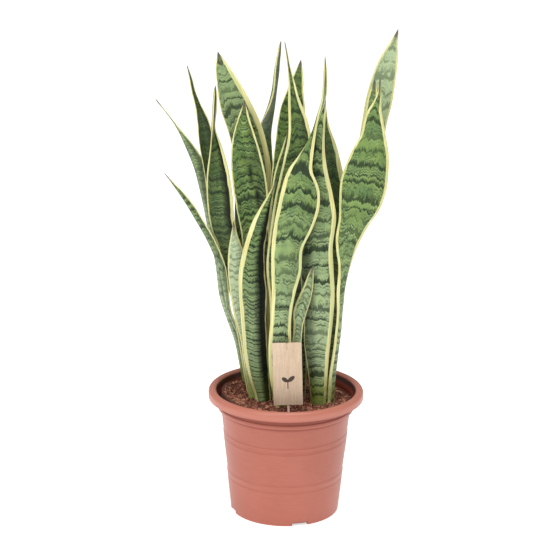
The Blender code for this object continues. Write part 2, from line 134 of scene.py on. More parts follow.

# How each leaf looks: the widths in mm of its left and right margins, the spacing in mm of its broad
# dark bands and of the fine lines between them, their contrast, how jagged they are in mm, how far they
# dip towards the midline in mm per mm, how pale the leaf is, from 0, green, to 1, grey-white, where values
# below 0, down to -1, almost black, paint shade on a leaf that stands in shadow, and how much shade is
# painted on its left and right sides, from 0 to 1.
LEAF_LOOKS = {
    "leaf_front_left": ((5.5, 1.2), (8.0, 3.7), 0.97, 1.3, -0.30, -0.12, (0.1, 1.0)),
    "leaf_short_left": ((1.5, 1.5), (9.0, 3.8), 0.55, 1.2, -0.10, 0.95, (0.1, 0.1)),
    "leaf_creased_left": ((1.6, 2.4), (11.0, 4.4), 0.98, 2.2, 0.25, 0.00, (0.1, 0.5)),
    "leaf_twisted_left": ((1.8, 4.2), (8.0, 3.8), 0.97, 1.7, -0.25, -0.42, (0.2, 0.95)),
    "leaf_tall_left": ((1.2, 7.0), (13.0, 4.6), 0.90, 2.4, 0.15, 0.34, (0.0, 0.1)),
    "leaf_low_left": ((0.5, 0.6), (9.0, 4.4), 0.90, 1.8, 0.00, 0.10, (0.4, 0.4)),
    "leaf_back_left": ((0.9, 1.0), (9.0, 4.4), 0.80, 2.0, 0.00, -0.80, (0.3, 0.5)),
    "leaf_outer_left": ((0.6, 0.8), (10.0, 4.6), 0.60, 2.0, 0.00, 0.30, (0.4, 0.6)),
    "leaf_rear_left": ((2.5, 2.0), (12.0, 5.0), 0.80, 2.4, 0.00, -0.40, (0.2, 0.2)),
    "leaf_turned_centre": ((2.6, 1.0), (12.0, 5.0), 0.80, 2.4, 0.00, -0.50, (0.0, 0.3)),
    "leaf_back_centre": ((1.2, 2.2), (11.0, 5.0), 0.92, 2.2, 0.00, -0.20, (0.1, 0.2)),
    "leaf_slim_centre": ((2.0, 1.2), (12.0, 5.0), 0.80, 2.0, 0.00, -0.40, (0.1, 0.4)),
    "leaf_tall_centre": ((3.0, 4.2), (11.0, 4.6), 0.92, 2.6, 0.10, -0.35, (0.1, 0.6)),
    "leaf_front_centre": ((4.6, 3.6), (23.0, 4.8), 0.98, 2.6, 0.35, 0.10, (0.0, 0.2)),
    "leaf_young_centre": ((2.4, 1.2), (8.0, 3.6), 0.80, 1.2, 0.50, 0.25, (0.0, 0.2)),
    "leaf_front_right": ((1.0, 5.5), (20.0, 4.5), 0.98, 2.0, 0.10, 0.22, (0.6, 0.0)),
    "leaf_shaded_right": ((1.6, 6.0), (12.0, 5.0), 0.80, 2.6, 0.00, -0.65, (0.3, 0.0)),
    "leaf_broad_right": ((2.6, 3.6), (16.0, 4.8), 0.92, 3.2, 0.15, 0.05, (0.0, 0.1)),
    "leaf_slim_right": ((2.0, 2.5), (10.0, 4.6), 0.75, 2.4, 0.00, 0.20, (0.1, 0.1)),
    "leaf_tallest_right": ((2.2, 2.2), (24.0, 4.6), 0.55, 3.2, 0.10, 0.85, (0.0, 0.0)),
}

MATH = "ShaderNodeMath"
MIX = "ShaderNodeMix"
RANGE = "ShaderNodeMapRange"
NOISE = "ShaderNodeTexNoise"
WHITE_NOISE = "ShaderNodeTexWhiteNoise"
BUMP = "ShaderNodeBump"
RANDOM = "FunctionNodeRandomValue"
SMOOTH = {"interpolation_type": "SMOOTHSTEP"}
COLOUR = {"data_type": "RGBA"}


def per(size):
    """A texture's scale for spots of so many millimetres on Object coordinates."""
    return 1 / (size * MM)


def linear(code):
    """Linear colour, with alpha, of an sRGB hex value."""
    shares = [int(code[i:i + 2], 16) / 255 for i in (1, 3, 5)]
    return tuple(c / 12.92 if c <= 0.04045 else ((c + 0.055) / 1.055) ** 2.4 for c in shares) + (1.0,)


def add(tree, kind, *given, **settings):
    """A new node's first output. Its inputs are given in order or, in one dictionary, by name."""
    made = tree.nodes.new(kind)
    for name, value in settings.items():
        setattr(made, name, value)
    sockets = [socket for socket in made.inputs if socket.enabled]
    by_name = given[0] if given and isinstance(given[0], dict) else dict(enumerate(given))
    for key, value in by_name.items():
        socket = sockets[key] if isinstance(key, int) else next(s for s in sockets if s.name == key)
        if isinstance(value, bpy.types.NodeSocket):
            tree.links.new(value, socket)
        else:
            socket.default_value = value
    return next((socket for socket in made.outputs if socket.enabled), None)


def new_material(name):
    """A material with its node tree and its shader."""
    material = bpy.data.materials.new(name)
    material.use_nodes = True
    return material, material.node_tree, material.node_tree.nodes["Principled BSDF"]


def finish_surface(tree, shader, colour, roughness, relief=None, strength=0.0, depth=0.0):
    """Gives a shader its colour, its roughness and, from a pattern, a relief of a depth in metres."""
    tree.links.new(colour, shader.inputs["Base Color"])
    if isinstance(roughness, float):
        shader.inputs["Roughness"].default_value = roughness
    else:
        tree.links.new(roughness, shader.inputs["Roughness"])
    if relief:
        bump = add(tree, BUMP, {"Strength": strength, "Distance": depth, "Height": relief})
        tree.links.new(bump, shader.inputs["Normal"])


def add_piece(name, mesh, material, node_names, smooth_angle=40):
    """A finished piece, riding on the plant's one body, in place of its solids if it has any."""
    piece = bpy.data.objects.new(name, mesh)
    bpy.context.scene.collection.objects.link(piece)
    mesh.materials.clear()
    mesh.materials.append(material)
    mesh.shade_smooth()
    mesh.set_sharp_from_angle(angle=math.radians(smooth_angle))
    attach(piece, "root")
    if node_names:
        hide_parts(*node_names)
    return piece


def face_outwards(mesh):
    """Closes the seams of a mesh and turns its faces outwards."""
    shape = bmesh.new()
    shape.from_mesh(mesh)
    bmesh.ops.remove_doubles(shape, verts=shape.verts, dist=0.002 * MM)
    bmesh.ops.recalc_face_normals(shape, faces=shape.faces)
    shape.to_mesh(mesh)
    shape.free()


def grown(name, mesh, tree, values):
    """The plain mesh that a geometry tree makes from a base mesh."""
    holder = bpy.data.objects.new(name + "_base", mesh)
    bpy.context.scene.collection.objects.link(holder)
    modifier = holder.modifiers.new("grow", "NODES")
    modifier.node_group = tree
    inputs = {item.name: item.identifier for item in tree.interface.items_tree if item.in_out == "INPUT"}
    for label, value in values.items():
        modifier[inputs[label]] = value
    evaluated = holder.evaluated_get(bpy.context.evaluated_depsgraph_get())
    result = bpy.data.meshes.new_from_object(evaluated)
    result.name = name
    holder.modifiers.remove(modifier)
    bpy.data.objects.remove(holder)
    return result


def new_tree(name, inputs):
    """A geometry tree that takes a geometry and named inputs, with the sockets of its group input."""
    tree = bpy.data.node_groups.new(name, "GeometryNodeTree")
    tree.interface.new_socket("Geometry", in_out="INPUT", socket_type="NodeSocketGeometry")
    for label, kind in inputs:
        tree.interface.new_socket(label, in_out="INPUT", socket_type=kind)
    tree.interface.new_socket("Geometry", in_out="OUTPUT", socket_type="NodeSocketGeometry")
    return tree, add(tree, "NodeGroupInput").node.outputs


def close_tree(tree, geometry, material):
    """Ends a geometry tree in plain geometry of one material."""
    whole = add(tree, "GeometryNodeRealizeInstances", geometry)
    finished = add(tree, "GeometryNodeSetMaterial", {"Geometry": whole, "Material": material})
    add(tree, "NodeGroupOutput", finished)
    return tree


# ---------------------------------------------------------------- leaf geometry

def blade_edges(name):
    """A blade's left and right sharp edges, each from the foot to the tip, and its surface."""
    shape = bmesh.new()
    shape.from_mesh(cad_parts[name].data)
    bmesh.ops.remove_doubles(shape, verts=shape.verts, dist=0.01 * MM)
    foot = min(v.co.z for v in shape.verts)
    tip = max(shape.verts, key=lambda v: v.co.z)
    sharp = {e for e in shape.edges if len(e.link_faces) == 2 and e.calc_face_angle() > math.radians(75)
             and max(v.co.z for v in e.verts) > foot + MM}
    chains = []
    for start in [e for e in tip.link_edges if e in sharp]:
        chain = [tip, start.other_vert(tip)]
        while chain[-1].co.z > foot + 0.1 * MM:
            onward = [e.other_vert(chain[-1]) for e in chain[-1].link_edges if e in sharp]
            chain.append(next(v for v in onward if v is not chain[-2]))
        chains.append(np.array([v.co for v in reversed(chain)]))
    surface = BVHTree.FromBMesh(shape)
    shape.free()
    chains.sort(key=lambda chain: chain[0][0])
    return chains[0], chains[-1], surface


def smooth_path(points, count):
    """Evenly spaced points on a smooth curve through the given ones."""
    steps = np.linalg.norm(np.diff(points, axis=0), axis=1)
    at = np.concatenate([[0], np.cumsum(steps)])
    slope = np.gradient(points, at, axis=0)
    wanted = np.linspace(0, at[-1], count)
    i = np.clip(np.searchsorted(at, wanted) - 1, 0, len(steps) - 1)
    t = ((wanted - at[i]) / steps[i])[:, None]
    span = steps[i][:, None]
    return ((2 * t**3 - 3 * t**2 + 1) * points[i] + (t**3 - 2 * t**2 + t) * span * slope[i]
            + (3 * t**2 - 2 * t**3) * points[i + 1] + (t**3 - t**2) * span * slope[i + 1])


def evened(values, reach):
    """The values averaged over a number of neighbours on each side."""
    padded = np.concatenate([np.repeat(values[:1], reach), values, np.repeat(values[-1:], reach)])
    weights = np.hanning(2 * reach + 3)[1:-1]
    return np.convolve(padded, weights / weights.sum(), "valid")


def measure(surface, middle, face):
    """How far forward of the chord a blade's middle stands, and its thickness there."""
    reach = 40 * MM
    front = surface.ray_cast(middle + face * reach, -face)[0]
    back = surface.ray_cast(middle - face * reach, face)[0]
    if front is None or back is None:
        return None
    ahead, behind = (front - middle).dot(face), (back - middle).dot(face)
    return (ahead + behind) / 2, ahead - behind


def crease_shade(s, height):
    """How dark the shade painted along the crease is at a share of the half width and a height in mm."""
    at = CREASE_PLACE - CREASE_LEAN * (height - CREASE_MIDDLE)
    reach = max(0, 1 - abs(height - CREASE_MIDDLE) / CREASE_REACH)
    return math.exp(-((s - at) / CREASE_WIDTH) ** 2) * min(1, 2 * reach)


def across_blade(left, right, width):
    """The direction from a blade's left edge to its right; at the tip it is the last sure one."""
    across = (right - left) / np.maximum(width, 0.001 * MM)[:, None]
    for i in range(1, len(across)):
        if width[i] < SURE_WIDTH:
            across[i] = across[i - 1]
    return across


def make_leaf(name, seed, material):
    """A blade lofted between its solid's two edges, with the solid's hollow and thickness evened out."""
    left, right, surface = blade_edges(name)
    count = int(np.linalg.norm(np.diff(left, axis=0), axis=1).sum() / STATION)
    left, right = smooth_path(left, count), smooth_path(right, count)
    middle = (left + right) / 2
    width = np.linalg.norm(right - left, axis=1)
    along = np.gradient(middle, axis=0)
    across = across_blade(left, right, width)
    distance = np.concatenate([[0], np.cumsum(np.linalg.norm(np.diff(middle, axis=0), axis=1))])
    to_tip = distance[-1] - distance
    width = np.maximum(width, np.minimum(AWL_WIDTH, AWL_TAPER * to_tip))
    face = np.cross(across, along)
    face /= np.linalg.norm(face, axis=1)[:, None]

    found = {i: measure(surface, Vector(middle[i]), Vector(face[i])) for i in range(1, count - 1)}
    found = {i: pair for i, pair in found.items() if pair}
    hollow, thick = [np.interp(range(count), list(found), values) for values in zip(*found.values())]
    reach = int(SMOOTH_OVER / STATION / 2)
    hollow = evened(hollow / np.maximum(width, MM), reach) * width
    thick = np.minimum(evened(thick, reach // 2) * BLADE_SHARE, MOST_THICK * width)

    buried = np.interp(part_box("soil")[1][2], middle[:, 2], distance)
    phase = np.random.default_rng(seed).uniform(0, 2 * math.pi, (2, 2))
    long, short = RIPPLE_LENGTHS
    sway = [np.sin(distance / long + slow) + 0.4 * np.sin(distance / short + fast) for slow, fast in phase]
    sway = np.array(sway) * RIPPLE * np.minimum(1, to_tip / RIPPLE_FADES)

    # Attributes, with lengths in mm: "blade" is the place across from the midline, the way up from the
    # soil and the way left to the tip. "edge" is the way in from the nearer cream margin, the side of
    # the blade, from 1 in front to -1 behind, and the spacing of the fine lines. "habit" and "cast"
    # hold the leaf's own looks and its painted shade, and the attribute of painted shade is how dark the
    # shade painted on its sides, and along the crease of one leaf, is there.
    margins, (broad, fine), contrast, jag, dip, pale, painted_shade = LEAF_LOOKS[name]
    steps = np.sin(np.linspace(-1, 1, HALF_STEPS + 1) * math.pi / 2)
    ring = [(s, 1) for s in steps] + [(s, -1) for s in steps[-2:0:-1]]
    points, blade, edge, shade = [], [], [], []
    for i in range(count - 1):
        half_width = width[i] / 2 / MM
        for s, side in ring:
            rise = hollow[i] * (1 - s * s) + sway[int(s > 0), i] * abs(s) ** 3
            rise += side * thick[i] / 2 * math.sqrt(max(0, 1 - s**4))
            points.append(middle[i] + across[i] * s * width[i] / 2 + face[i] * rise)
            blade.append((s * half_width, (distance[i] - buried) / MM, to_tip[i] / MM))
            inside = [(1 + turn * s) * half_width - min(margin, MOST_MARGIN * half_width)
                      for turn, margin in zip((1, -1), margins)]
            edge.append((min(inside), side * math.sqrt(max(0, 1 - s * s)), fine))
            # Painted shade: the blade's sides are darkened, and on one leaf the line along its crease.
            shade.append(painted_shade[int(s > 0)] * min(1, max(0, (abs(s) - 0.1) / 0.4)))
            if name == CREASED_LEAF:
                shade[-1] = max(shade[-1], crease_shade(s, blade[-1][1]))
    around = len(ring)
    points.append(middle[-1])
    blade.append((0, (distance[-1] - buried) / MM, 0))
    edge.append((0, 0, fine))
    shade.append(0)
    faces = [(i * around + k, i * around + (k + 1) % around, (i + 1) * around + (k + 1) % around,
              (i + 1) * around + k) for i in range(count - 2) for k in range(around)]
    last = (count - 2) * around
    faces += [(last + k, last + (k + 1) % around, len(points) - 1) for k in range(around)]
    faces.append(tuple(reversed(range(around))))

    mesh = bpy.data.meshes.new(name + "_blade")
    mesh.from_pydata([tuple(p) for p in points], [], faces)
    for label, values in (("blade", blade), ("edge", edge),
                          ("habit", [(seed, broad, contrast)] * len(points)),
                          ("cast", [(jag, dip, pale)] * len(points))):
        attribute = mesh.attributes.new(label, "FLOAT_VECTOR", "POINT")
        attribute.data.foreach_set("vector", np.array(values, np.float32).ravel())
    mesh.attributes.new("painted_shade", "FLOAT", "POINT").data.foreach_set("value", np.array(shade, np.float32))
    face_outwards(mesh)
    return add_piece(name + "_blade", mesh, material, [name], 70)


# ---------------------------------------------------------------- leaf material

def leaf_material():
    """Snake plant leaf, grown: fleshy and waxed, grey-green, with jagged dark bands and cream margins.

    To the eye: a satin sheen, bands like brush strokes with a crisp lower edge and a feathered upper
    one, and a fine lengthwise fibre.
    """
    material, tree, shader = new_material("waxy_variegated_leaf")
    read = [add(tree, "ShaderNodeAttribute", attribute_name=name).node.outputs["Vector"]
            for name in ("blade", "edge", "habit", "cast")]
    blade, edge, habit, cast = [add(tree, "ShaderNodeSeparateXYZ", vector).node.outputs for vector in read]
    u, v, to_tip = blade
    green_in, side, fine_spacing = edge
    seed, broad_spacing, contrast = habit
    jag, dip, pale = cast
    own = add(tree, MATH, seed, 7.3, operation="MULTIPLY")

    def streaks(across_mm, along_mm, offset, detail=1.0):
        """A pattern whose spots are about so many mm across and along the blade."""
        where = add(tree, "ShaderNodeCombineXYZ",
                    add(tree, MATH, u, across_mm, operation="DIVIDE"),
                    add(tree, MATH, v, along_mm, operation="DIVIDE"),
                    add(tree, MATH, side, 3.0, offset, operation="MULTIPLY_ADD"))
        return add(tree, NOISE, {"Vector": where, "W": own, "Scale": 1.0, "Detail": detail},
                   noise_dimensions="4D")

    def shifted(pattern, by):
        """A pattern turned into a push of so many mm up or down."""
        return add(tree, MATH, add(tree, MATH, pattern, 0.5, operation="SUBTRACT"), by,
                   operation="MULTIPLY")

    # Height along the blade, pushed up and down so that the bands come out jagged and wavy, and
    # stretched towards the foot so that they crowd together there.
    height = add(tree, MATH, add(tree, MATH, u, operation="ABSOLUTE"), dip, v, operation="MULTIPLY_ADD")
    height = add(tree, MATH, height, add(tree, RANGE, v, 0.0, 130.0, -60.0, 0.0, **SMOOTH))
    height = add(tree, MATH, height, shifted(streaks(50.0, 110.0, 9.0), 20.0))
    height = add(tree, MATH, height,
                 shifted(streaks(7.0, 60.0, 5.0), add(tree, MATH, jag, 4.6, operation="MULTIPLY")))
    height = add(tree, MATH, height,
                 shifted(streaks(1.7, 40.0, 1.0), add(tree, MATH, jag, 2.6, operation="MULTIPLY")))

    def band_levels(spacing, unevenness):
        """How far above the last band a spot is, from 0 to 1, and that band's number."""
        level = add(tree, MATH, add(tree, MATH, height, spacing, operation="DIVIDE"), own)
        uneven = add(tree, NOISE, {"W": level, "Scale": 0.6, "Detail": 0.0}, noise_dimensions="1D")
        level = add(tree, MATH, uneven, unevenness, level, operation="MULTIPLY_ADD")
        return add(tree, MATH, level, operation="FRACT"), add(tree, MATH, level, operation="FLOOR")

    # Broad bands: crisp below, feathered above as if brushed upwards, and thinner here and there.
    above, number = band_levels(broad_spacing, 0.9)
    strength, width = [add(tree, WHITE_NOISE, add(tree, MATH, number, shift), noise_dimensions="1D")
                       for shift in (0.0, 41.7)]
    reach = add(tree, MATH, add(tree, RANGE, width, 0.0, 1.0, 0.45, 1.0),
                add(tree, RANGE, streaks(1.3, 9.0, 19.0), 0.3, 0.7, 0.45, 1.0), operation="MULTIPLY")
    reach = add(tree, MATH, reach, add(tree, RANGE, streaks(12.0, 11.0, 17.0, 2.0), 0.34, 0.50, 0.4, 1.0,
                                       **SMOOTH), operation="MULTIPLY")
    band = add(tree, RANGE, above, add(tree, MATH, reach, 0.4, operation="MULTIPLY"), reach, 1.0, 0.0,
               **SMOOTH)
    band = add(tree, MATH, band, add(tree, RANGE, above, 0.0, 0.05, **SMOOTH), operation="MULTIPLY")
    band = add(tree, MATH, band, add(tree, RANGE, strength, 0.0, 0.4, 0.55, 1.0), operation="MULTIPLY")

    # Fine lines between them, in some stretches of the blade only.
    rise, number = band_levels(fine_spacing, 1.2)
    tone = add(tree, WHITE_NOISE, number, noise_dimensions="1D")
    stretch = add(tree, RANGE, streaks(60.0, 22.0, 35.0), 0.40, 0.56, 0.1, 0.85, **SMOOTH)
    line = add(tree, MATH, add(tree, RANGE, rise, 0.0, 0.15, **SMOOTH),
               add(tree, RANGE, rise, 0.25, 0.6, 1.0, 0.0, **SMOOTH), operation="MULTIPLY")
    line = add(tree, MATH, line, add(tree, RANGE, streaks(10.0, 7.0, 13.0), 0.36, 0.5, **SMOOTH),
               operation="MULTIPLY")
    line = add(tree, MATH, line, stretch, operation="MULTIPLY")
    blots = add(tree, MATH, add(tree, RANGE, streaks(3.4, 3.2, 23.0, 2.0), 0.5, 0.64, **SMOOTH),
                add(tree, RANGE, streaks(20.0, 24.0, 27.0), 0.42, 0.62, 0.0, 0.7, **SMOOTH),
                operation="MULTIPLY")
    inked = add(tree, MATH, add(tree, MATH, band, line, operation="MAXIMUM"), blots,
                operation="MAXIMUM")
    inked = add(tree, MATH, inked, contrast, operation="MULTIPLY")
    bright = add(tree, MATH, add(tree, RANGE, rise, 0.6, 0.95, **SMOOTH), stretch,
                 operation="MULTIPLY")
    fibre = streaks(0.9, 45.0, 21.0, 2.0)
    patch = streaks(14.0, 20.0, 25.0, 3.0)

    # Lower down, the green turns paler and greyer.
    low = add(tree, RANGE, v, 80.0, 300.0, 0.40, 0.0, **SMOOTH)
    light = add(tree, MATH, add(tree, RANGE, pale), low, use_clamp=True)
    ground = add(tree, MIX, tone, linear("#5E7A36"), linear("#7B954B"), **COLOUR)
    ground = add(tree, MIX, add(tree, RANGE, patch, 0.38, 0.66, 0.0, 0.75, **SMOOTH), ground,
                 linear("#48693A"), **COLOUR)
    ground = add(tree, MIX, light, ground, linear("#B3C39C"), **COLOUR)
    ground = add(tree, MIX, add(tree, MATH, bright, 0.4, operation="MULTIPLY"), ground,
                 linear("#B9CB98"), **COLOUR)
    # Painted shade: a leaf whose paleness is below 0 is darkened towards black, as if it stood in shadow.
    ground = add(tree, MIX, add(tree, RANGE, pale, 0.0, -1.0, 0.0, 0.9), ground, linear("#18241A"),
                 **COLOUR)
    dark = add(tree, MIX, add(tree, RANGE, patch, 0.3, 0.7), linear("#17300F"), linear("#081A14"),
               **COLOUR)
    green = add(tree, MIX, inked, ground, dark, **COLOUR)
    green = add(tree, MIX, add(tree, RANGE, fibre, 0.3, 0.7, 0.0, 0.10), green, linear("#A9BC84"),
                **COLOUR)
    # Painted shade: the sides of each blade, and the crease of one leaf, are darkened towards black.
    painted_shade = add(tree, "ShaderNodeAttribute", attribute_name="painted_shade").node.outputs["Fac"]
    green = add(tree, MIX, add(tree, MATH, painted_shade, 0.97, operation="MULTIPLY"), green,
                linear("#070A06"), **COLOUR)

    # The margins run from cream over straw to a pale green, in long streaks.
    cream = add(tree, MIX, add(tree, RANGE, streaks(1.6, 50.0, 29.0), 0.35, 0.65), linear("#E2E0A8"),
                linear("#D0C47C"), **COLOUR)
    cream = add(tree, MIX, add(tree, RANGE, streaks(5.0, 70.0, 31.0), 0.45, 0.65, 0.0, 0.6, **SMOOTH),
                cream, linear("#B9C78C"), **COLOUR)
    rim = add(tree, MATH, green_in, shifted(streaks(3.0, 18.0, 33.0), 2.4))
    skin = add(tree, MIX, add(tree, RANGE, rim, -0.35, 0.55, **SMOOTH), cream, green, **COLOUR)
    young = add(tree, MATH, streaks(4.0, 20.0, 37.0), 30.0, v, operation="MULTIPLY_ADD")
    young = add(tree, MATH, add(tree, RANGE, young, 20.0, 74.0, 0.85, 0.0, **SMOOTH),
                add(tree, RANGE, inked, 0.0, 1.0, 1.0, 0.25), operation="MULTIPLY")
    young = add(tree, MATH, young, add(tree, RANGE, pale, -0.15, 0.15, 0.1, 1.0), operation="MULTIPLY")
    skin = add(tree, MIX, young, skin, linear("#86993A"), **COLOUR)
    dry = add(tree, MATH, streaks(2.0, 6.0, 41.0), 6.0, to_tip, operation="MULTIPLY_ADD")
    dry = add(tree, MATH, add(tree, MATH, u, operation="ABSOLUTE"), 3.0, dry, operation="MULTIPLY_ADD")
    skin = add(tree, MIX, add(tree, RANGE, dry, 7.0, 32.0, 1.0, 0.0, **SMOOTH), skin,
               linear("#5C5A46"), **COLOUR)

    relief = add(tree, MATH, fibre, 0.6, streaks(3.0, 8.0, 45.0), operation="MULTIPLY_ADD")
    sheen = add(tree, RANGE, fibre, 0.2, 0.8, 0.36, 0.52, **SMOOTH)
    finish_surface(tree, shader, skin, sheen, relief, 0.3, 0.25 * MM)
    shader.inputs["Specular IOR Level"].default_value = 0.17
    return material


# ---------------------------------------------------------------- pot

def arc(radius_at, height_at, size, first, last, steps):
    """Points on an arc in the pot's section, between two angles in degrees from outwards."""
    angles = np.radians(np.linspace(first, last, steps + 1))
    return [(radius_at + size * math.cos(a), height_at + size * math.sin(a)) for a in angles]


def pot_outline():
    """The pot's section: along its foot, up its outside, over the lip, down the inside to the axis."""
    lip, _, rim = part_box("pot")[1]
    neck, shoulder, foot = lip - NECK_INSET, lip - SHOULDER_INSET, lip - FOOT_INSET
    shoulder_z, neck_z, skirt = rim - SHOULDER_DROP, rim - NECK_DROP, rim - LIP_DROP
    middle, spring = lip - LIP_ROLL, rim - LIP_ROLL
    inside, bead = neck - WALL, WALL / 2

    def wall_radius(z):
        return foot + (shoulder - foot) * z / shoulder_z

    outline = [(0, UNDERSIDE_RISE), (foot - 16 * MM, UNDERSIDE_RISE), (foot - 14 * MM, 0.3 * MM),
               (foot - 2.2 * MM, 0)]
    outline += arc(wall_radius(2 * MM) - 2 * MM, 2 * MM, 2 * MM, -70, 0, 5)
    outline += [(wall_radius(6 * MM), 6 * MM)]
    # Faint moulded rings, held in shape by points 4 mm above and below each.
    for height in RING_HEIGHTS:
        outline += [(wall_radius(height) + depth * MM, height + along * MM)
                    for along, depth in RING_SECTION]
    outline += [(wall_radius(z), z) for z in (shoulder_z - 8 * MM, shoulder_z - 2.5 * MM)]
    outline += [(shoulder + out * MM, shoulder_z + up * MM)
                for out, up in ((-0.5, -1.1), (-0.4, -0.4), (1.5, 0.3))]
    outline += arc(neck - 2 * MM, neck_z - 0.6 * MM, 2 * MM, -60, 0, 4)
    outline += [(neck + dent * MM, neck_z + rise * MM) for rise, dent in NECK_SECTION]
    outline += [(neck - 0.6 * MM, skirt - 1 * MM)]
    outline += arc(middle, spring, LIP_ROLL - WALL, 180, 0, 10)
    outline += [(lip - WALL, skirt + LIP_GAP)]
    outline += arc(lip - bead, skirt + bead, bead - 0.05 * MM, 180, 350, 6)
    outline += arc(middle, spring, LIP_ROLL, 0, 180, 16)
    outline += [(inside + 1 * MM, spring - 4 * MM), (inside, skirt - 3 * MM), (inside, neck_z + 2 * MM),
                (shoulder - WALL, shoulder_z), (wall_radius(4 * MM) - WALL, 4 * MM), (0, FLOOR_RISE)]
    return outline


def turned_tree():
    """Turns an outline, whose points are (radius, 0, height), round Z and cuts drain notches from it."""
    tree, given = new_tree("turned_wall", (
        ("Steps", "NodeSocketInt"), ("Notches", "NodeSocketInt"), ("First notch", "NodeSocketFloat"),
        ("Notch size", "NodeSocketVector"), ("Notch radius", "NodeSocketFloat"),
        ("Notch height", "NodeSocketFloat"), ("Material", "NodeSocketMaterial")))
    corners = add(tree, "GeometryNodeAttributeDomainSize", given["Geometry"])
    columns = add(tree, MATH, given["Steps"], 1)
    grid = add(tree, "GeometryNodeMeshGrid", 1.0, 1.0, columns, corners)
    index = add(tree, "GeometryNodeInputIndex")
    column = add(tree, MATH, add(tree, MATH, index, corners, operation="DIVIDE"), operation="FLOOR")
    row = add(tree, MATH, index, corners, operation="MODULO")
    outline = add(tree, "GeometryNodeInputPosition")
    place = add(tree, "GeometryNodeSampleIndex", given["Geometry"], outline, row, data_type="FLOAT_VECTOR")
    angle = add(tree, MATH, column, add(tree, MATH, math.tau, given["Steps"], operation="DIVIDE"),
                operation="MULTIPLY")
    turned = add(tree, "ShaderNodeVectorRotate", {"Vector": place, "Angle": angle}, rotation_type="Z_AXIS")
    wall = add(tree, "GeometryNodeSetPosition", {"Geometry": grid, "Position": turned})
    wall = add(tree, "GeometryNodeMergeByDistance", {"Geometry": wall, "Distance": 0.005 * MM})

    block = add(tree, "GeometryNodeMeshCube", given["Notch size"])
    ring = add(tree, "GeometryNodeMeshCircle", {
        "Vertices": given["Notches"], "Radius": given["Notch radius"]})
    share = add(tree, MATH, add(tree, "GeometryNodeInputIndex"), given["Notches"], operation="DIVIDE")
    around = add(tree, MATH, share, math.tau, operation="MULTIPLY")
    spin, lift, start = [add(tree, "ShaderNodeCombineXYZ", 0.0, 0.0, z)
                         for z in (around, given["Notch height"], given["First notch"])]
    blocks = add(tree, "GeometryNodeInstanceOnPoints", {
        "Points": ring, "Instance": block, "Rotation": spin})
    blocks = add(tree, "GeometryNodeTransform", {
        "Geometry": blocks, "Translation": lift, "Rotation": start})
    cut = add(tree, "GeometryNodeMeshBoolean", wall, add(tree, "GeometryNodeRealizeInstances", blocks),
              operation="DIFFERENCE", solver="EXACT")
    return close_tree(tree, cut, given["Material"])


